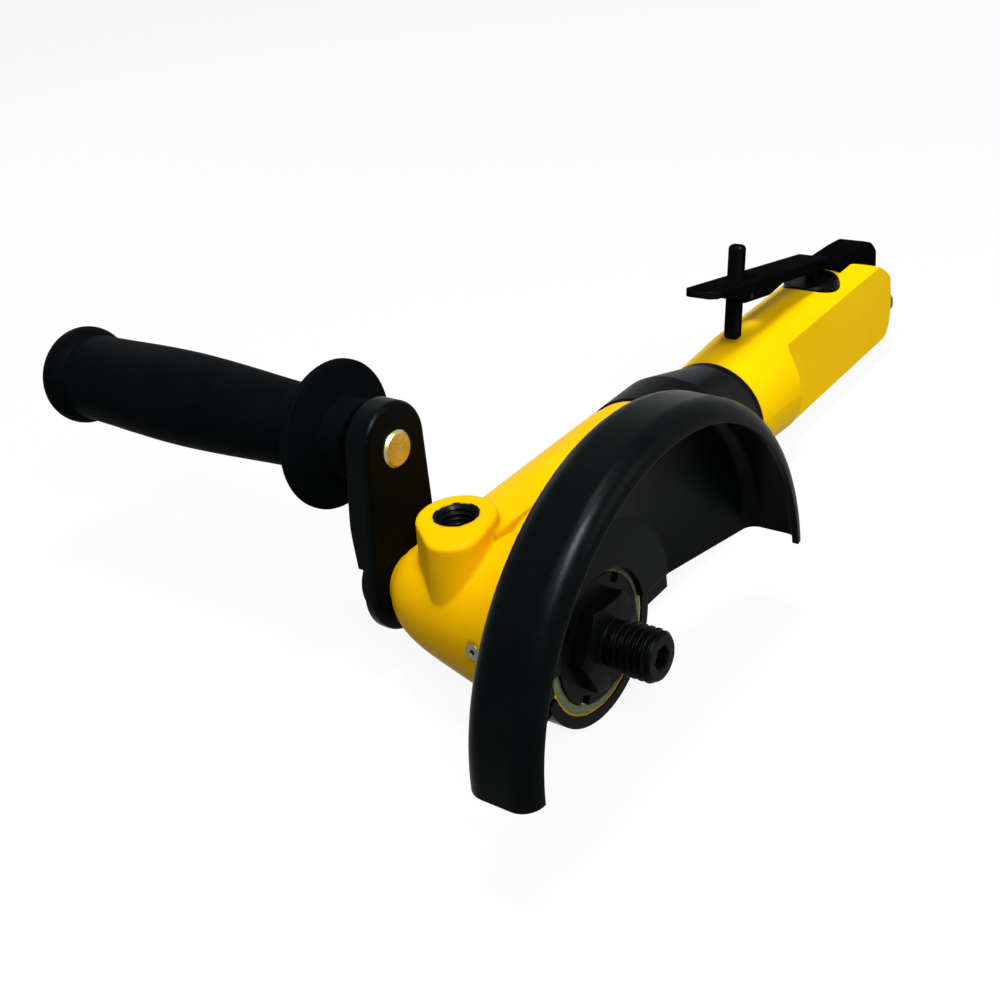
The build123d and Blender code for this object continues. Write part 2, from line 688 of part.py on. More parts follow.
def clamp_nut():
    ends = (-LUG_HALF - CLAMP_NUT, -LUG_HALF)
    body = hexagon("z", *ends, CLAMP_NUT_FLATS, ON_CLAMP)
    return Rot(X=LUG_TURN) * (body - clamp_rod(*ends, CLAMP_R + FIT))


def rotor():
    front_end = PINION_END_Y - PINION_SEAT
    rear_end = REAR_PLATE_Y[1] - ROTOR_END_GAP
    body = spun("y", [
        (front_end, 0), (front_end, PINION_BORE_R), (PINION_END_Y, PINION_BORE_R),
        (PINION_END_Y, ROTOR_SHAFT_R), (ROTOR_Y[0], ROTOR_SHAFT_R), (ROTOR_Y[0], ROTOR_R),
        (ROTOR_Y[1], ROTOR_R), (ROTOR_Y[1], ROTOR_SHAFT_R), (rear_end, ROTOR_SHAFT_R), (rear_end, 0),
    ], ON_BODY)
    for slot in vane_boxes(FIT, ROTOR_Y, ROTOR_R + PAST):
        body -= slot
    return body


def vane_boxes(room, ends, reach):
    half = VANE_THICK / 2 + room
    box = block((-half, half), ends, (ROTOR_R - VANE_DEPTH - room, reach))
    return [Pos(*ON_BODY) * Rot(Y=360 / VANES * number) * box for number in range(VANES)]


def rotor_vanes():
    ends = (ROTOR_Y[0] + SLIDE, ROTOR_Y[1] - SLIDE)
    return Compound(vane_boxes(0, ends, ROTOR_R - SLIDE))


def cylinder():
    """Motor cylinder, whose bore is lower than the rotor so that the vanes can work."""
    ends = (FRONT_PLATE_Y[1], REAR_PLATE_Y[0])
    body = rod("y", *ends, CYLINDER_R, ON_BODY)
    body -= rod("y", *ends, CYLINDER_BORE_R, (BODY_X, 0, -CYLINDER_OFFSET))
    body -= motor_pin(FIT, *ends)
    for slot in exhaust_slots(CYLINDER_BORE_R - PAST, CYLINDER_R + PAST):
        body -= slot
    return body


def motor_pin(room, start, end):
    return rod("y", start, end, MOTOR_PIN_R + room, (BODY_X, 0, MOTOR_PIN_Z))


def cylinder_pin():
    return motor_pin(0, FRONT_PLATE_Y[1] - MOTOR_PIN_SEAT, REAR_PLATE_Y[0] + MOTOR_PIN_SEAT)


def front_end_plate():
    start, end = FRONT_PLATE_Y
    body = ring("y", start, end, ROTOR_SHAFT_R + ROOM, CYLINDER_R, ON_BODY)
    body -= rod("y", start, end - PLATE_WEB, ROTOR_BEARING_R, ON_BODY)
    return body - motor_pin(FIT, end - MOTOR_PIN_SEAT - SLIDE, end)


def rear_end_plate():
    start, end = REAR_PLATE_Y
    body = ring("y", start, end, ROTOR_SHAFT_R + ROOM, CYLINDER_R, ON_BODY)
    body -= rod("y", end - ROTOR_BEARING_WIDTH, end, ROTOR_BEARING_R, ON_BODY)
    body -= rod("y", start, end, PORT_R, (BODY_X - PORT_AT_R, 0, 0))
    return body - motor_pin(FIT, start, start + MOTOR_PIN_SEAT + SLIDE)


def front_rotor_bearing():
    start = FRONT_PLATE_Y[1] - PLATE_WEB - ROTOR_BEARING_WIDTH
    inner = ROTOR_SHAFT_R + RUN
    return bearing("y", start, ROTOR_BEARING_WIDTH, inner, ROTOR_BEARING_R - FIT, ON_BODY)


def rear_rotor_bearing():
    start = REAR_PLATE_Y[1] - ROTOR_BEARING_WIDTH
    inner = ROTOR_SHAFT_R + RUN
    return bearing("y", start, ROTOR_BEARING_WIDTH, inner, ROTOR_BEARING_R - FIT, ON_BODY)


def coupling_nut():
    """Nut that draws the throttle housing's flange onto the motor and the neck."""
    start = NECK_END_Y + STANDOFF
    land_end = LAND_END_Y + STANDOFF
    return spun("y", [
        (start, LAND_R + FIT), (start, COUPLING_R - COUPLING_EDGE), (start + COUPLING_EDGE, COUPLING_R),
        (COUPLING_CONE_Y, COUPLING_R), (COUPLING_REAR_Y, COUPLING_REAR_R),
        (COUPLING_END_Y, COUPLING_REAR_R), (COUPLING_END_Y, SPIGOT_BODY_R + SLIDE),
        (FLANGE_END_Y + SLIDE, SPIGOT_BODY_R + SLIDE), (FLANGE_END_Y + SLIDE, MOTOR_BORE_R),
        (land_end, MOTOR_BORE_R), (land_end, LAND_R + FIT),
    ], ON_BODY)


def housing_form():
    """Round grip with two milled sides and a top that slopes away at the rear."""
    grip = FilletPolyline(
        (0, HOUSING_Y), (HOUSING_FRONT_R, HOUSING_Y), (HOUSING_R, HOUSING_FULL_Y),
        (HOUSING_R, HOUSING_END_Y), (0, HOUSING_END_Y), radius=HOUSING_EDGES,
    )
    body = turned("y", [grip, Line((0, HOUSING_END_Y), (0, HOUSING_Y))], ON_BODY)
    body += rod("y", FLANGE_Y, FLANGE_END_Y, FLANGE_R, ON_BODY)
    body += rod("y", FLANGE_Y, HOUSING_Y + PAST, SPIGOT_BODY_R, ON_BODY)
    wide = FLAT_X + FLAT_RISE
    past = HOUSING_END_Y + PAST
    side = FilletPolyline(
        (FLAT_X, past), (FLAT_X, FLAT_Y), (wide, FLAT_Y - FLAT_LEAD), (wide, past),
        radius=(0, FLAT_RUNOUT, 0, 0), close=True,
    )
    flat = extrude(make_face(side), HOUSING_R + PAST, both=True)
    body -= Pos(*ON_BODY) * flat
    body -= Pos(*ON_BODY) * mirror(flat, Plane.YZ)
    line = [(HOUSING_END_Y + along, height) for along, height in REAR_SLOPE]
    above = HOUSING_R + PAST
    slope = ThreePointArc(*line)
    top = Polyline(line[-1], (line[-1][0], above), (line[0][0], above), line[0])
    cut = Plane.YZ * make_face(slope.edges() + top.edges())
    return body - Pos(*ON_BODY) * extrude(cut, wide, both=True)


def throttle_housing():
    body = housing_form()
    above = HOUSING_R + PAST
    hub_half = HUB_HALF + ROOM
    recess = BUSH_HEAD_R + ROOM
    hub_y = (VALVE_Y + recess + HUB_SLOT_WALL, HOUSING_END_Y + PAST)
    body -= Pos(*ON_BODY) * block((-hub_half, hub_half), hub_y, (HUB_SLOT_Z, above))
    body -= rod("x", -LEVER_PIN_HALF, LEVER_PIN_HALF, LEVER_PIN_R + FIT, ON_PIVOT)
    body -= rod("y", HOUSING_END_Y - INLET_STEM, HOUSING_END_Y, INLET_STEM_R + FIT, ON_INLET)
    body -= rod("y", VALVE_Y, HOUSING_END_Y - INLET_STEM, INLET_PASSAGE_R, ON_INLET)
    body -= rod("y", FLANGE_Y, VALVE_Y, PASSAGE_R, (BODY_X, 0, PASSAGE_Z))
    body -= rod("y", FLANGE_Y, FLANGE_END_Y, FLANGE_HOLLOW_R, ON_BODY)
    body -= rod("z", SEAT_Z, BUSH_Z[1], SEAT_R, ON_VALVE)
    body -= rod("z", BUSH_Z[1], above, recess, ON_VALVE)
    body -= rod("z", -HOUSING_R - PAST, SEAT_Z, CHAMBER_R, ON_VALVE)
    return body


def inlet_bushing():
    end = HOUSING_END_Y + INLET_OUT
    body = rod("y", INLET_STEM_Y, HOUSING_END_Y, INLET_STEM_R, ON_INLET)
    collar = rod("y", HOUSING_END_Y, end, INLET_R, ON_INLET)
    body += hexagon("y", HOUSING_END_Y, end, INLET_FLATS, ON_INLET) & collar
    body -= rod("y", end - INLET_THREAD_DEPTH, end, INLET_THREAD_R, ON_INLET)
    return body - rod("y", INLET_STEM_Y, end, SCREEN_R + FIT, ON_INLET)


def inlet_screen():
    """Strainer thimble in the inlet, open to the rear."""
    end = INLET_STEM_Y + SCREEN_LENGTH
    body = rod("y", INLET_STEM_Y, end, SCREEN_R, ON_INLET)
    return body - rod("y", INLET_STEM_Y + SCREEN_FLOOR, end, SCREEN_R - SCREEN_WALL, ON_INLET)


def valve_bush():
    """Guide of the plunger, whose wide round head is sunk in the top of the grip."""
    low, seat = BUSH_Z
    top = seat + BUSH_HEAD
    bore = PLUNGER_R + RUN
    stem = SEAT_R - FIT
    return spun("z", [
        (low, bore), (low, stem), (seat, stem), (seat, BUSH_HEAD_R), (top - BUSH_EDGE, BUSH_HEAD_R),
        (top, BUSH_HEAD_R - BUSH_EDGE), (top, bore),
    ], ON_VALVE)


def throttle_valve():
    """Poppet on a plunger whose round top the lever presses."""
    top = plunger_top()
    low = SEAT_Z - RUN
    return spun("z", [
        (low - VALVE_HEAD, 0), (low - VALVE_HEAD, VALVE_HEAD_R), (low, VALVE_HEAD_R), (low, WAIST_R),
        (PLUNGER_FOOT_Z, WAIST_R), (PLUNGER_FOOT_Z + PLUNGER_CONE, PLUNGER_R),
        (top - PLUNGER_CROWN, PLUNGER_R),
        (top, PLUNGER_R / 2), (top, 0),
    ], ON_VALVE)


def plunger_top():
    """Height at which the plunger stands just under the lever's web."""
    slope = radians(LEVER_SLOPE)
    forward = (VALVE_AHEAD + LEVER_UNDER * sin(slope)) / cos(slope)
    web = PIVOT_Z + forward * sin(slope) + LEVER_UNDER * cos(slope)
    return web - PLUNGER_GAP - PLUNGER_R * sin(slope) / 2


def valve_spring():
    """Coil between the cap and the valve, as one swept wire."""
    low = CAP_TOP_Z + SPRING_WIRE / 2 + RUN
    high = SEAT_Z - RUN - VALVE_HEAD - SPRING_WIRE / 2 - RUN
    coil = Helix((high - low) / SPRING_TURNS, high - low, SPRING_R)
    wire = sweep(Plane(coil @ 0, z_dir=coil % 0) * Circle(SPRING_WIRE / 2), path=coil)
    return Pos(BODY_X, VALVE_Y, low) * wire


def valve_cap():
    groove = CHAMBER_R - FIT - CAP_SEAL_WIRE
    body = spun("z", [
        (CAP_BOTTOM_Z, 0), (CAP_BOTTOM_Z, CHAMBER_R - FIT), (CAP_GROOVE_Z[0], CHAMBER_R - FIT),
        (CAP_GROOVE_Z[0], groove), (CAP_GROOVE_Z[1], groove), (CAP_GROOVE_Z[1], CHAMBER_R - FIT),
        (CAP_TOP_Z, CHAMBER_R - FIT), (CAP_TOP_Z, 0),
    ], ON_VALVE)
    return body - hexagon("z", CAP_BOTTOM_Z, CAP_BOTTOM_Z + CAP_SOCKET, CAP_SOCKET_FLATS, ON_VALVE)


def valve_cap_seal():
    middle = sum(CAP_GROOVE_Z) / 2
    radius = CAP_SEAL_WIRE / 2 - FIT
    return Pos(BODY_X, VALVE_Y, middle) * Torus(CHAMBER_R - FIT - CAP_SEAL_WIRE / 2, radius)


def on_lever(shape):
    """Carry a piece drawn level about the lever's pin to its place."""
    return Pos(*ON_PIVOT) * Rot(X=-LEVER_SLOPE) * shape


def side_plate(points, half, radius):
    """Plate from an outline of (forward, up) points, with the same width to both sides."""
    outline = FilletPolyline(*[(-forward, up) for forward, up in points], radius=radius, close=True)
    return extrude(Plane.YZ * make_face(outline), half, both=True)


def lever_rod(forward, up, radius, half):
    return rod("x", -half, half, radius, (0, -forward, up))


def lever_paddle():
    """Front of the lever: thin tongue and side skirts, deepest round the lock-off bar."""
    plate = side_plate(LEVER_SIDE, LEVER_HALF, LEVER_SIDE_R)
    sides = plate.faces().sort_by(Axis.X)
    plate = fillet(sides[0].edges() + sides[-1].edges(), LEVER_EDGE_R)
    plan = FilletPolyline(
        (-LEVER_HALF, 0), (-LEVER_HALF, -LEVER_TIP), (LEVER_HALF, -LEVER_TIP), (LEVER_HALF, 0),
        radius=(0, TIP_CORNER_R, TIP_CORNER_R, 0), close=True,
    )
    plate &= extrude(make_face(plan), LEVER_TOP)
    inner = LEVER_HALF - LEVER_SKIRT
    near, far = LEVER_HOLLOW
    plate -= block((-inner, inner), (-far, -near), (-PAST, LEVER_UNDER))
    slot_half = LOCK_HALF + ROOM
    slot_y = (-LOCK_U - LOCK_THICK / 2 - LOCK_SLOT_FRONT, -LOCK_SLOT_REAR)
    return plate - block((-slot_half, slot_half), slot_y, (-PAST, LEVER_TOP + PAST))


def lever_hub():
    """Rear of the lever, which turns on the pin between the housing's ears."""
    hub = side_plate(HUB_SIDE, HUB_HALF, HUB_SIDE_R)
    sides = hub.faces().sort_by(Axis.X)
    return fillet(sides[0].edges() + sides[-1].edges(), HUB_EDGE_R)


def throttle_lever():
    body = lever_paddle() + lever_hub()
    body -= lever_rod(0, 0, LEVER_PIN_R + RUN, LEVER_HALF)
    body -= lever_rod(LOCK_U, LOCK_PIN_W, LOCK_PIN_R + FIT, LEVER_HALF)
    return on_lever(body)


def lever_pin():
    return rod("x", -LEVER_PIN_HALF, LEVER_PIN_HALF, LEVER_PIN_R, ON_PIVOT)


def lock_off_lever():
    outline = Plane((0, -LOCK_U, LOCK_FOOT)) * RectangleRounded(2 * LOCK_HALF, LOCK_THICK, LOCK_EDGE_R)
    bar = extrude(outline, LOCK_TOP - LOCK_FOOT)
    ends = bar.faces().sort_by(Axis.Z)
    bar = fillet(ends[0].edges() + ends[-1].edges(), LOCK_END_R)
    return on_lever(bar - lever_rod(LOCK_U, LOCK_PIN_W, LOCK_PIN_R + RUN, LEVER_HALF))


def lock_off_pin():
    return on_lever(lever_rod(LOCK_U, LOCK_PIN_W, LOCK_PIN_R, LEVER_HALF - SLIDE))


def arm_outline():
    """Tapered arm, drawn upright about the spindle axis."""
    eye = Circle(ARM_EYE_R).edges()
    end = (Pos(0, ARM_END_AT) * Circle(ARM_END_R)).edges()
    return make_hull(eye + end)


def handle_bracket():
    front = HEAD_TOP_X - SLIDE
    outline = Plane((front, 0, 0), (0, 1, 0), (1, 0, 0)) * arm_outline()
    arm = extrude(outline, -ARM_THICK)
    ends = arm.faces().sort_by(Axis.X)
    arm = fillet(ends[0].edges() + ends[-1].edges(), ARM_EDGE_R)
    reach = ARM_EYE_R + PAST
    relief = Polyline(
        (ARM_BACK_X, ARM_SLOPE_AT), (front - ARM_STEP_THICK, ARM_STEP_AT), (ARM_EYE_BACK_X, ARM_STEP_AT),
        (ARM_EYE_BACK_X, -reach), (ARM_BACK_X - PAST, -reach), (ARM_BACK_X - PAST, ARM_SLOPE_AT),
        close=True,
    )
    arm -= extrude(Plane.XZ * make_face(relief), reach, both=True)
    arm -= rod("x", ARM_BACK_X, ARM_EYE_BACK_X, ARM_WASHER_R + ROOM)
    arm -= rod("x", ARM_BACK_X, front, SPIGOT_R + RUN)
    arm = Rot(X=-ARM_LEAN) * arm
    return arm - rod("x", ARM_BACK_X, front, STUD_R + FIT, ON_STUD)


def bracket_washer():
    return ring("x", WASHER_X - ARM_WASHER, WASHER_X, ARM_BOLT_R + FIT, ARM_WASHER_R)


def bracket_bolt():
    seat = WASHER_X - ARM_WASHER
    shank = rod("x", seat, UPPER_BEARING_END_X - ARM_BOLT_WALL - ARM_BOLT_TIP_GAP, ARM_BOLT_R)
    return shank + hexagon("x", seat - ARM_BOLT_HEAD, seat, ARM_BOLT_HEAD_FLATS)


def handle_bolt():
    end = HEAD_TOP_X - SLIDE + STUD_PROUD
    return spun("x", [
        (STUD_END_X, 0), (STUD_END_X, STUD_R), (end - STUD_CHAMFER, STUD_R),
        (end, STUD_R - STUD_CHAMFER), (end, 0),
    ], ON_STUD)


def grip_spacer():
    return ring("x", GRIP_X, ARM_BACK_X, STUD_R + FIT, SPACER_R, ON_STUD)


def handle_grip():
    """Grip with hub, finger flange, swelling barrel and end knob."""
    bore = STUD_R + FIT
    bore_end = STUD_END_X - STANDOFF
    flange_start, flange_end = GRIP_FLANGE_X
    rest = [
        KNOB_LINE[-1], (bore_end, 0), (bore_end, bore), (GRIP_X, bore), (GRIP_X, GRIP_HUB_R),
        (flange_start + GRIP_FLANGE_DRAFT, GRIP_HUB_R), (flange_start, GRIP_FLANGE_R),
        (flange_end, GRIP_FLANGE_R), GRIP_LINE[0],
    ]
    body = turned("x", [curve("x", GRIP_LINE), curve("x", KNOB_LINE), path("x", rest)], ON_STUD)
    rims = body.edges().filter_by(GeomType.CIRCLE).filter_by(
        lambda edge: edge.radius > GRIP_FLANGE_R - FIT)
    return fillet(rims, GRIP_FLANGE_EDGE)


PARTS = [
    angle_housing, handle_insert, grease_fitting, bearing_retainer, spindle_seal, lower_bearing,
    upper_bearing, spindle, ring_gear, gear_key, gear_retaining_ring, pinion, rotor, rotor_vanes, cylinder,
    cylinder_pin, front_end_plate, rear_end_plate, front_rotor_bearing, rear_rotor_bearing,
    coupling_nut, throttle_housing, inlet_bushing, inlet_screen, valve_bush, throttle_valve,
    valve_spring, valve_cap, valve_cap_seal, throttle_lever, lever_pin, lock_off_lever, lock_off_pin,
    guard_shell, guard_collar, clamp_screw, clamp_nut, handle_bracket, bracket_washer, bracket_bolt,
    handle_bolt, grip_spacer, handle_grip,
]

os.makedirs("parts", exist_ok=True)
for make in PARTS:
    export_step(make(), f"parts/{make.__name__}.step")
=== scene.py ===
import json
from math import cos, floor, pi, radians, sin

import bmesh
import bpy
from mathutils import Matrix, Quaternion, Vector


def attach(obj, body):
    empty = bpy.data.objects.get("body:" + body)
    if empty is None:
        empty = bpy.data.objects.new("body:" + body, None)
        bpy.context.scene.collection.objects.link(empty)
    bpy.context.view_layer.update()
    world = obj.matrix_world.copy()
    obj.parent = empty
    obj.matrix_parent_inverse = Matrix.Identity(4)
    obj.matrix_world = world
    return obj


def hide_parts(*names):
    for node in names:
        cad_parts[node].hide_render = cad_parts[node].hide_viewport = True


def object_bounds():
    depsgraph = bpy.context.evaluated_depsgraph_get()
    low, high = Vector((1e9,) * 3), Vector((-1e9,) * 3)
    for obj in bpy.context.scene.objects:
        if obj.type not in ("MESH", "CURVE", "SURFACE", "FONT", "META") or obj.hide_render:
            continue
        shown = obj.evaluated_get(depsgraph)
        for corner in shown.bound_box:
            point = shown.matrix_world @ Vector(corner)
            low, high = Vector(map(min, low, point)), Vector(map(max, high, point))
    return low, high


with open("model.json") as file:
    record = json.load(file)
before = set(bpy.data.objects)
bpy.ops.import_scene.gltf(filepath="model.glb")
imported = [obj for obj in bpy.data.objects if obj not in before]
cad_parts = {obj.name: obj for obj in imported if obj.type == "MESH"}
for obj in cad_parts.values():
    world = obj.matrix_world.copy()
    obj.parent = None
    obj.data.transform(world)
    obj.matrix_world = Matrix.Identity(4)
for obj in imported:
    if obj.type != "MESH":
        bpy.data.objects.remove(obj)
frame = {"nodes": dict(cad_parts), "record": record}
nodes = frame["nodes"]
cad_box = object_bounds()

MM = 0.001
INCH = 25.4

# Sizes that the record states with its mounts, in millimetres
mounts = {mount["name"]: mount for mount in frame["record"]["mounts"]}
places = {name: [value / MM for value in mount["pos_m"]] for name, mount in mounts.items()}
dims = {name: mount["dims"] for name, mount in mounts.items()}
THREAD_R = dims["spindle"]["r_mm"]
INSERT_X, INSERT_Y, INSERT_TOP_Z = places["handle_thread"]
INSERT_LENGTH = dims["handle_thread"]["length_mm"]
STUD_R = dims["handle_thread"]["r_mm"]
INLET_X, INLET_END_Y, INLET_Z = places["air_inlet"]
INLET_THREAD_R = dims["air_inlet"]["r_mm"]
INLET_THREAD_DEPTH = dims["air_inlet"]["length_mm"]

# Other sizes shared with the solids, in millimetres
THREAD_LENGTH = 16.3
TIP_CHAMFER = 1.2
SOCKET_FLATS = 6.4
SOCKET_DEPTH = 9.0
HEX_FLATS = 26.4
HEX_LENGTH = 4.2
HEX_TURN = radians(56.7)
HEX_FACE_R = 13.6
SPINDLE_REAR = [(-HEX_LENGTH, 10.0), (-11.6, 10.0), (-11.6, 7.5), (-22.6, 7.5), (-22.6, 7.0), (-43.5, 7.0),
                (-43.5, 5.0), (-61.4, 5.0), (-61.4, 4.0), (-68.4, 4.0), (-68.4, 0.0)]
INSERT_R = 7.0
NOSE_FACE_X = -5.5
NOSE_R = 23.3

# Pitches of the threads: 5/8-11 UNC, M12 and 1/4-18 NPT
THREAD_PITCH = INCH / 11
STUD_PITCH = 1.75
INLET_PITCH = INCH / 18

# Bare metal on the head: the nose's rim, in a darkened tone that is partly painted shade, and the chipped
# mouth of the boss
RIM_INSET = 0.55
RIM_REACH = 0.03
CHIP_R = (6.95, 7.6)
CHIP_LOW_Z = 16.0


class Look:
    """A Principled material with the node helpers that the finishes below use."""

    def __init__(self, name):
        self.material = bpy.data.materials.new(name)
        self.material.use_nodes = True
        self.tree = self.material.node_tree
        self.shader = self.tree.nodes["Principled BSDF"]
        self.place = self.add("ShaderNodeTexCoord").outputs["Object"]

    def add(self, kind, **settings):
        node = self.tree.nodes.new(kind)
        for key, value in settings.items():
            setattr(node, key, value)
        return node

    def link(self, source, target):
        self.tree.links.new(source, target)

    def fixed(self, **values):
        """Values that are the same all over the surface."""
        for key, value in values.items():
            self.shader.inputs[key.replace("_", " ")].default_value = value

    def noise(self, scale, detail, roughness=0.5, stretch=None):
        node = self.add("ShaderNodeTexNoise")
        node.inputs["Scale"].default_value = scale
        node.inputs["Detail"].default_value = detail
        node.inputs["Roughness"].default_value = roughness
        place = self.place
        if stretch:
            mapping = self.add("ShaderNodeMapping")
            mapping.inputs["Scale"].default_value = stretch
            self.link(place, mapping.inputs["Vector"])
            place = mapping.outputs["Vector"]
        self.link(place, node.inputs["Vector"])
        return node.outputs["Fac"]

    def calc(self, operation, first, second=None):
        node = self.add("ShaderNodeMath", operation=operation)
        for socket, value in zip(node.inputs, (first, second)):
            if isinstance(value, (int, float)):
                socket.default_value = value
            elif value is not None:
                self.link(value, socket)
        return node.outputs[0]

    def spread(self, source, low, high, start=0.3, end=0.7):
        """The source's start to end, as values from low to high."""
        node = self.add("ShaderNodeMapRange")
        for name, value in zip(("From Min", "From Max", "To Min", "To Max"), (start, end, low, high)):
            node.inputs[name].default_value = value
        self.link(source, node.inputs["Value"])
        return node.outputs["Result"]

    def shade(self, source, stops):
        """Colour ramp of (position, colour) stops."""
        node = self.add("ShaderNodeValToRGB")
        ramp = node.color_ramp
        while len(ramp.elements) < len(stops):
            ramp.elements.new(0.5)
        for element, (position, colour) in zip(ramp.elements, stops):
            element.position = position
            element.color = (*colour, 1)
        self.link(source, node.inputs["Fac"])
        return node.outputs["Color"]

    def blend(self, factor, first, second):
        """Colours mixed by a factor."""
        node = self.add("ShaderNodeMix", data_type="RGBA")
        self.link(factor, node.inputs["Factor"])
        for socket, value in ((node.inputs[6], first), (node.inputs[7], second)):
            if isinstance(value, tuple):
                socket.default_value = (*value, 1)
            else:
                self.link(value, socket)
        return node.outputs[2]

    def axes(self):
        node = self.add("ShaderNodeSeparateXYZ")
        self.link(self.place, node.inputs[0])
        return node.outputs

    def colour(self, source):
        self.link(source, self.shader.inputs["Base Color"])

    def clouds(self, scale, detail, dark, light):
        """Base colour that drifts between two tones."""
        self.colour(self.shade(self.noise(scale, detail), [(0.3, dark), (0.7, light)]))

    def gloss(self, source):
        self.link(source, self.shader.inputs["Roughness"])

    def any_of(self, first, *others):
        """1 where any of the sources is 1."""
        for other in others:
            first = self.calc("MAXIMUM", first, other)
        return first

    def relief(self, height, strength, depth, edge):
        """Bump of a depth over edges rounded by a radius, both in millimetres."""
        bump = self.add("ShaderNodeBump")
        bump.inputs["Strength"].default_value = strength
        bump.inputs["Distance"].default_value = depth * MM
        self.link(height, bump.inputs["Height"])
        bevel = self.add("ShaderNodeBevel", samples=6)
        bevel.inputs["Radius"].default_value = edge * MM
        self.link(bevel.outputs[0], bump.inputs["Normal"])
        self.link(bump.outputs[0], self.shader.inputs["Normal"])


# Green share of the yellow on the head and on the rear housing: one enamel in two tones, the head's warmer
# as painted shade and the rear's more lemon as painted light
SHADED_HEAD_GREEN = 0.520
LIT_REAR_GREEN = 0.575
GREEN_DRIFT = 0.03

# Rounding of their edges in the shading, in millimetres
HEAD_EDGE = 2.4
REAR_EDGE = 0.7


def enamel(name, edge, green):
    """Glossy yellow enamel with a faint orange peel."""
    look = Look(name)
    deep = (0.92, green - GREEN_DRIFT, 0.0008)
    light = (0.965, green + GREEN_DRIFT, 0.0012)
    tone = look.shade(look.noise(28, 4), [(0.3, deep), (0.5, (0.95, green, 0.0010)), (0.72, light)])
    look.colour(tone)
    look.gloss(look.spread(look.noise(160, 3), 0.30, 0.40))
    look.relief(look.noise(420, 2), 0.05, 0.2, edge)
    look.fixed(Specular_IOR_Level=0.006)
    return look, tone


def head_enamel():
    """Enamel of the head, with the bare rim of the nose, darkened as painted shade, and the worn mouth of
    the boss.
    """
    # The head's yellow is the warmer tone, which paints the shade that the head sits in
    look, tone = enamel("yellow_enamel_head", HEAD_EDGE, SHADED_HEAD_GREEN)
    x, y, z = look.axes()
    radius = look.calc("SQRT", look.calc("ADD", look.calc("POWER", y, 2.0), look.calc("POWER", z, 2.0)))
    front = look.calc("GREATER_THAN", x, (NOSE_FACE_X - RIM_REACH) * MM)
    inside = look.calc("LESS_THAN", radius, (NOSE_R - RIM_INSET) * MM)
    bare = look.calc("MULTIPLY", front, inside)
    across = look.calc("POWER", look.calc("SUBTRACT", x, INSERT_X * MM), 2.0)
    along = look.calc("POWER", look.calc("SUBTRACT", y, INSERT_Y * MM), 2.0)
    mouth = look.calc("SQRT", look.calc("ADD", across, along))
    ragged = look.spread(look.noise(420, 4, 0.7), CHIP_R[0] * MM, CHIP_R[1] * MM, 0.42, 0.75)
    chipped = look.calc("LESS_THAN", mouth, ragged)
    high = look.calc("GREATER_THAN", z, CHIP_LOW_Z * MM)
    chipped = look.calc("MULTIPLY", chipped, high)
    # Greenish bare metal of the rim, in a tone darker than the bare metal itself, which paints the shade
    # that the rim sits in
    rim = look.shade(look.noise(900, 3), [(0.3, (0.12, 0.14, 0.076)), (0.7, (0.176, 0.20, 0.12))])
    base = look.blend(bare, tone, rim)
    base = look.blend(chipped, base, (0.035, 0.033, 0.02))
    look.colour(base)
    return look.material


def rear_enamel():
    # The rear housing's yellow is the more lemon tone, which paints the light that falls on it
    return enamel("yellow_enamel", REAR_EDGE, LIT_REAR_GREEN)[0].material


def black_paint():
    """Satin black paint on pressed or cast steel."""
    look = Look("black_paint")
    look.clouds(60, 4, (0.0012, 0.0020, 0.0022), (0.0020, 0.0030, 0.0033))
    look.gloss(look.spread(look.noise(240, 4, 0.6), 0.27, 0.36))
    look.relief(look.noise(1300, 3), 0.12, 0.2, 0.6)
    look.fixed(Specular_IOR_Level=0.02)
    return look.material


def dull_black():
    """Dull black of the lever and its lock, which stays black where it is seen at a flat angle."""
    look = Look("dull_black")
    look.clouds(90, 4, (0.0032, 0.0036, 0.0038), (0.0044, 0.0050, 0.0052))
    look.gloss(look.spread(look.noise(260, 4, 0.6), 0.34, 0.46))
    look.relief(look.noise(1500, 3), 0.12, 0.2, 0.5)
    look.fixed(Metallic=0.5, Specular_IOR_Level=0.0, Specular_Tint=(0.1, 0.1, 0.1, 1))
    return look.material


def black_oxide():
    """Oiled black oxide on turned steel."""
    look = Look("black_oxide")
    look.clouds(180, 4, (0.0020, 0.0024, 0.0026), (0.0036, 0.0041, 0.0044))
    look.gloss(look.spread(look.noise(300, 4, 0.6), 0.26, 0.42))
    look.relief(look.noise(2400, 2), 0.10, 0.1, 0.3)
    look.fixed(Specular_IOR_Level=0.02)
    return look.material


def black_anodised():
    """Black anodised aluminium with fine turning marks round the body axis."""
    look = Look("black_anodised")
    look.clouds(90, 3, (0.0028, 0.0040, 0.0056), (0.0042, 0.0060, 0.0082))
    look.gloss(look.spread(look.noise(40, 3, 0.6, (1, 60, 1)), 0.28, 0.42))
    look.relief(look.noise(30, 2, 0.5, (1, 90, 1)), 0.10, 0.2, 0.4)
    look.fixed(Specular_IOR_Level=0.012, Specular_Tint=(0.80, 0.92, 1.0, 1))
    return look.material


def metal(name, dark, light, smooth, rough):
    """Bare or plated metal with faint cloudiness and grain."""
    look = Look(name)
    look.clouds(150, 4, dark, light)
    look.gloss(look.spread(look.noise(700, 3, 0.6), smooth, rough))
    look.relief(look.noise(1400, 2), 0.06, 0.1, 0.3)
    look.fixed(Metallic=1.0)
    return look.material


def moulded(name, dark, light, rough, grain, shine):
    """Moulded plastic or rubber with a fine spark-eroded grain."""
    look = Look(name)
    look.clouds(70, 3, dark, light)
    look.gloss(look.spread(look.noise(350, 3), rough - 0.06, rough + 0.06))
    look.relief(look.noise(grain, 2), 0.22, 0.12, 0.5)
    look.fixed(Specular_IOR_Level=shine)
    return look.material


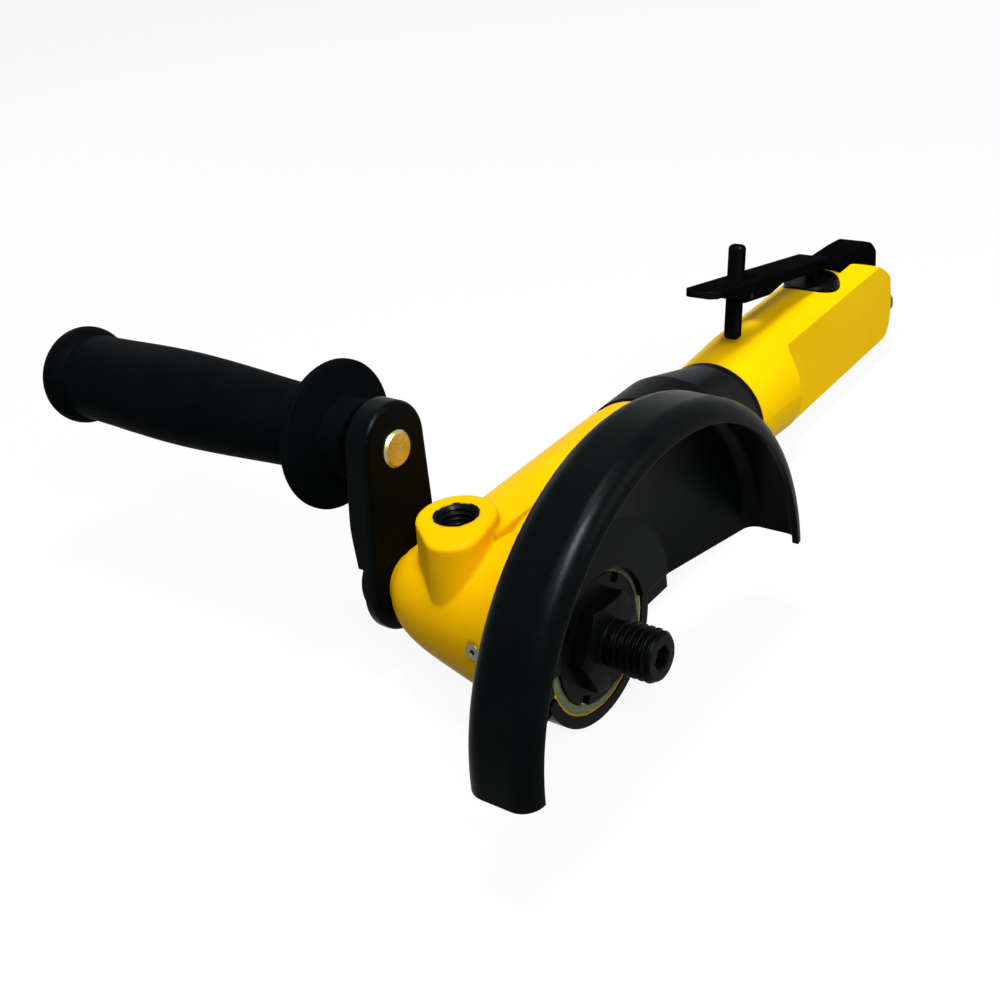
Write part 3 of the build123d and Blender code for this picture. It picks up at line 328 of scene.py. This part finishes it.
GRIP_TONES = ((0.0020, 0.0028, 0.0034), (0.0030, 0.0042, 0.0048))
FINISHES = {
    "yellow_enamel": rear_enamel(),
    "black_paint": black_paint(),
    "black_oxide": black_oxide(),
    "black_aluminium": black_anodised(),
    "zinc": metal("zinc_plate", (0.62, 0.61, 0.55), (0.76, 0.75, 0.69), 0.20, 0.34),
    "steel": metal("ground_steel", (0.46, 0.46, 0.47), (0.60, 0.60, 0.61), 0.24, 0.38),
    "iron": metal("machined_iron", (0.24, 0.24, 0.25), (0.34, 0.34, 0.35), 0.38, 0.52),
    "bronze": metal("plain_bronze", (0.50, 0.30, 0.10), (0.62, 0.40, 0.16), 0.30, 0.44),
    "seal_rubber": moulded("seal_rubber", (0.010, 0.010, 0.010), (0.018, 0.018, 0.018), 0.6, 1500, 0.3),
    "grip_plastic": moulded("grip_plastic", GRIP_TONES[0], GRIP_TONES[1], 0.50, 1700, 0.002),
    "vane_plastic": moulded("vane_laminate", (0.17, 0.075, 0.03), (0.26, 0.12, 0.05), 0.55, 1200, 0.4),
}


def finish(name, material):
    """Give a node its only finish."""
    mesh = nodes[name].data
    mesh.materials.clear()
    mesh.materials.append(material)


for part in frame["record"]["subparts"]:
    finish(part["node"], FINISHES[part["material_slot"]])

# Nodes that look different from the rest of their slot
finish("angle_housing", head_enamel())
finish("throttle_valve", FINISHES["black_oxide"])
lever_finish = dull_black()
for name in ("throttle_lever", "lock_off_lever"):
    finish(name, lever_finish)
finish("inlet_bushing", metal("dull_brass", (0.10, 0.055, 0.02), (0.17, 0.095, 0.035), 0.40, 0.55))
# The bolt's end is zinc tinted yellow-brown, which paints the reflection of the yellow head in it
finish("handle_bolt", metal("zinc_with_painted_yellow_reflection", (0.36, 0.30, 0.12), (0.48, 0.41, 0.19), 0.22, 0.36))
finish("grease_fitting", metal("dull_zinc", (0.12, 0.115, 0.095), (0.20, 0.19, 0.16), 0.30, 0.45))


# Least distance between points, in millimetres, and the angle from which an edge is sharp
WELD = 0.004
SHARP = radians(32)


def polar(name, count, outline, place):
    """Mesh turned from an outline that may differ from angle to angle. outline(angle) gives
    (along, radius) points, and place(along, radius, angle) a point in millimetres."""
    rows = [outline(2 * pi * turn / count) for turn in range(count)]
    length = len(rows[0])
    points = []
    for turn, row in enumerate(rows):
        angle = 2 * pi * turn / count
        points += [Vector(place(along, radius, angle)) * MM for along, radius in row]
    faces = []
    for turn in range(count):
        near, far = turn * length, (turn + 1) % count * length
        faces += [(near + step, near + step + 1, far + step + 1, far + step) for step in range(length - 1)]
    mesh = bpy.data.meshes.new(name)
    mesh.from_pydata(points, [], faces)
    form = bmesh.new()
    form.from_mesh(mesh)
    bmesh.ops.remove_doubles(form, verts=form.verts, dist=WELD * MM)
    bmesh.ops.recalc_face_normals(form, faces=form.faces)
    form.to_mesh(mesh)
    form.free()
    mesh.shade_smooth()
    mesh.set_sharp_from_angle(angle=SHARP)
    piece = bpy.data.objects.new(name, mesh)
    bpy.context.scene.collection.objects.link(piece)
    return piece


def dress(piece, slot, body):
    piece.data.materials.append(FINISHES[slot])
    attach(piece, body)


def hex_radius(angle, flats, turn):
    """Radius of a hexagon at an angle, with a corner at the given turn."""
    off = (angle - turn) % (pi / 3) - pi / 6
    return flats / 2 / cos(off)


# Shares of a thread's half pitch that are crest and flank
CREST_SHARE = 0.14
FLANK_SHARE = 0.68


def groove(along, angle, pitch):
    """Depth of a right-hand thread, from 0 at its crest to 1 at its root."""
    phase = along / pitch - angle / (2 * pi)
    across = abs(2 * (phase - floor(phase)) - 1)
    return min(max((across - CREST_SHARE) / FLANK_SHARE, 0), 1)


def steps(start, end, size):
    count = max(1, round(abs(end - start) / size))
    return [start + (end - start) * number / count for number in range(count + 1)]


# Points round each thread and along each pitch
SPINDLE_COUNT = 96
INNER_COUNT = 64
SPINDLE_STEPS = 14
INNER_STEPS = 10

# Forms of the threaded ends, in millimetres or as slopes
RELIEF_LENGTH = 2.4
RELIEF_R = 7.0
RELIEF_CORNER = 0.4
SOCKET_POINT = 1.6
SOCKET_EDGE = 0.5
TIP_SLOPE = 0.8
RUNOUT_SLOPE = 1.2
HEX_CHAMFER_SLOPE = 0.55
THREAD_DEPTH = 0.60 * THREAD_PITCH
STUD_DEPTH = 0.56 * STUD_PITCH
INLET_DEPTH = 0.50 * INLET_PITCH
MOUTH_EDGE = 0.5
MOUTH_SLOPE = 0.9
INLET_SLOPE = 0.8
INLET_INSET = 0.05
INLET_SINK = 0.2


def spindle_outline(angle):
    """Socket, threaded end, relief, hex flange and the shaft behind it."""
    turned = angle + HEX_TURN
    wall = hex_radius(turned, SOCKET_FLATS, HEX_TURN)
    floor_x = THREAD_LENGTH - SOCKET_DEPTH
    points = [(floor_x - SOCKET_POINT, 0), (floor_x, wall)]
    points += [(THREAD_LENGTH - SOCKET_EDGE, wall), (THREAD_LENGTH, wall + SOCKET_EDGE)]
    for along in steps(THREAD_LENGTH, RELIEF_LENGTH, THREAD_PITCH / SPINDLE_STEPS):
        tip = THREAD_R - TIP_CHAMFER + (THREAD_LENGTH - along) * TIP_SLOPE
        runout = RELIEF_R + max(along - RELIEF_LENGTH, 0) * RUNOUT_SLOPE
        radius = THREAD_R - THREAD_DEPTH * groove(along, turned, THREAD_PITCH)
        points.append((along, min(radius, tip, max(runout, THREAD_R - THREAD_DEPTH))))
    corner = hex_radius(turned, HEX_FLATS, HEX_TURN)
    cut = max(corner - HEX_FACE_R, 0) * HEX_CHAMFER_SLOPE
    points += [(RELIEF_LENGTH, RELIEF_R), (RELIEF_CORNER, RELIEF_R), (0, RELIEF_R + RELIEF_CORNER)]
    points += [(0, min(corner, HEX_FACE_R)), (-cut, corner), (-HEX_LENGTH, corner)]
    return points + SPINDLE_REAR


def about_spindle(along, radius, angle):
    turned = angle + HEX_TURN
    return along, radius * cos(turned), radius * sin(turned)


spindle = polar("threaded_spindle", SPINDLE_COUNT, spindle_outline, about_spindle)
dress(spindle, "black_oxide", "spindle")
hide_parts("spindle")


def insert_outline(angle):
    """Thread insert of the boss, from its outside round to its threaded inside."""
    low = INSERT_TOP_Z - INSERT_LENGTH
    points = [(low, STUD_R), (low, INSERT_R), (INSERT_TOP_Z, INSERT_R)]
    for along in steps(INSERT_TOP_Z, low, STUD_PITCH / INNER_STEPS):
        mouth = STUD_R + MOUTH_EDGE - (INSERT_TOP_Z - along) * MOUTH_SLOPE
        points.append((along, max(STUD_R - STUD_DEPTH * (1 - groove(along, angle, STUD_PITCH)), mouth)))
    return points + [points[0]]


def about_boss(along, radius, angle):
    return INSERT_X + radius * cos(angle), INSERT_Y + radius * sin(angle), along


insert = polar("boss_thread_insert", INNER_COUNT, insert_outline, about_boss)
dress(insert, "black_oxide", "body")
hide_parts("handle_insert")


def inlet_outline(angle):
    """Pipe thread inside the inlet."""
    start = INLET_END_Y - INLET_THREAD_DEPTH
    points = []
    for along in steps(INLET_END_Y - INLET_SINK, start, INLET_PITCH / INNER_STEPS):
        mouth = INLET_THREAD_R - 2 * INLET_INSET - (INLET_END_Y - along) * INLET_SLOPE
        radius = INLET_THREAD_R - INLET_INSET - INLET_DEPTH * (1 - groove(along, angle, INLET_PITCH))
        points.append((along, max(radius, mouth)))
    return points


def about_inlet(along, radius, angle):
    return INLET_X + radius * sin(angle), along, INLET_Z + radius * cos(angle)


inlet = polar("inlet_thread", INNER_COUNT, inlet_outline, about_inlet)
dress(inlet, "steel", "body")


# Camera at the photograph's place, in metres, aimed at the point in the picture's middle
CAMERA_AT = Vector((0.19379, -0.26633, 0.23213))
CAMERA_AIM = Vector((-0.04500, 0.01231, 0.03010))
CAMERA_ROLL = radians(-8.236)
LENS = 50.4
SENSOR = 36.0

lens = bpy.data.cameras.new("camera")
lens.lens = LENS
lens.sensor_width = SENSOR
camera = bpy.data.objects.new("camera", lens)
level_view = (CAMERA_AIM - CAMERA_AT).to_track_quat("-Z", "Y")
camera.matrix_world = Matrix.LocRotScale(CAMERA_AT, level_view @ Quaternion((0, 0, 1), CAMERA_ROLL), None)
bpy.context.scene.collection.objects.link(camera)
bpy.context.scene.camera = camera


# Lamps in metres and watts, aimed at the middle of the part
AIM = (-0.05, 0.08, 0.0)


def softbox(name, place, size, power, colour=(1, 1, 1)):
    """Square area light."""
    light = bpy.data.lights.new(name, "AREA")
    light.size = size
    light.energy = power
    light.color = colour
    lamp = bpy.data.objects.new(name, light)
    lamp.location = place
    lamp.rotation_euler = (Vector(AIM) - Vector(place)).to_track_quat("-Z", "Y").to_euler()
    bpy.context.scene.collection.objects.link(lamp)
    return lamp


softbox("key", (0.06, 0.02, 1.05), 0.25, 7.4)
softbox("front", (0.60, -0.40, 0.80), 0.25, 4.8)
softbox("front_left", (0.05, -0.50, 0.95), 0.30, 3.3)
softbox("side", (0.95, 0.45, 0.35), 0.50, 4.7)
softbox("far_side", (-0.95, 0.35, 0.45), 0.50, 1.8)

# Highlights on the black pieces, with no diffuse light of its own
glint = softbox("glint", (0.50, -0.25, 0.95), 0.25, 60.0, (0.78, 0.94, 1.0))
glint.visible_diffuse = False

# World, white where it is seen and dim as a light
WORLD_LIGHT = 0.05
world = bpy.data.worlds.new("studio")
bpy.context.scene.world = world
world.use_nodes = True
sky = world.node_tree
background = sky.nodes["Background"]
rays = sky.nodes.new("ShaderNodeLightPath")
shown = rays.outputs["Is Camera Ray"]
for kind in ("Is Glossy Ray", "Is Transmission Ray"):
    either = sky.nodes.new("ShaderNodeMath")
    either.operation = "MAXIMUM"
    sky.links.new(shown, either.inputs[0])
    sky.links.new(rays.outputs[kind], either.inputs[1])
    shown = either.outputs[0]
level = sky.nodes.new("ShaderNodeMapRange")
level.inputs["To Min"].default_value = WORLD_LIGHT
level.inputs["To Max"].default_value = 1.0
sky.links.new(shown, level.inputs["Value"])
sky.links.new(level.outputs["Result"], background.inputs["Strength"])
background.inputs["Color"].default_value = (1, 1, 1, 1)

# Floor, white where it is seen but for the shadow, and darker for the light that it throws back
FLOOR_GAP = 0.2
FLOOR_Z = cad_box[0][2] - FLOOR_GAP * MM
FLOOR_HALF = 6.0
FLOOR_BOUNCE = 0.22
FLOOR_SHOWN = 0.90
FLOOR_GLOW = 0.92
floor_mesh = bpy.data.meshes.new("floor")
corners = [(-1, -1), (1, -1), (1, 1), (-1, 1)]
floor_mesh.from_pydata([(x * FLOOR_HALF, y * FLOOR_HALF, FLOOR_Z) for x, y in corners], [], [(0, 1, 2, 3)])
ground = bpy.data.objects.new("floor", floor_mesh)
bpy.context.scene.collection.objects.link(ground)
paper = Look("paper")
paper.fixed(Roughness=1.0, Specular_IOR_Level=0.0)
glow = paper.add("ShaderNodeEmission")
path = paper.add("ShaderNodeLightPath")
mix = paper.add("ShaderNodeMixShader")
lit = paper.any_of(*(path.outputs[f"Is {kind} Ray"] for kind in ("Camera", "Glossy", "Transmission")))
grain = paper.spread(paper.noise(3, 2), 0.98, 1.0)
paper.colour(paper.calc("MULTIPLY", grain, paper.spread(lit, FLOOR_BOUNCE, FLOOR_SHOWN, 0.0, 1.0)))
paper.link(paper.calc("MULTIPLY", lit, FLOOR_GLOW), mix.inputs["Fac"])
paper.link(paper.shader.outputs[0], mix.inputs[1])
paper.link(glow.outputs[0], mix.inputs[2])
paper.link(mix.outputs[0], paper.tree.nodes["Material Output"].inputs["Surface"])
floor_mesh.materials.append(paper.material)

bpy.context.scene.view_settings.view_transform = "Standard"
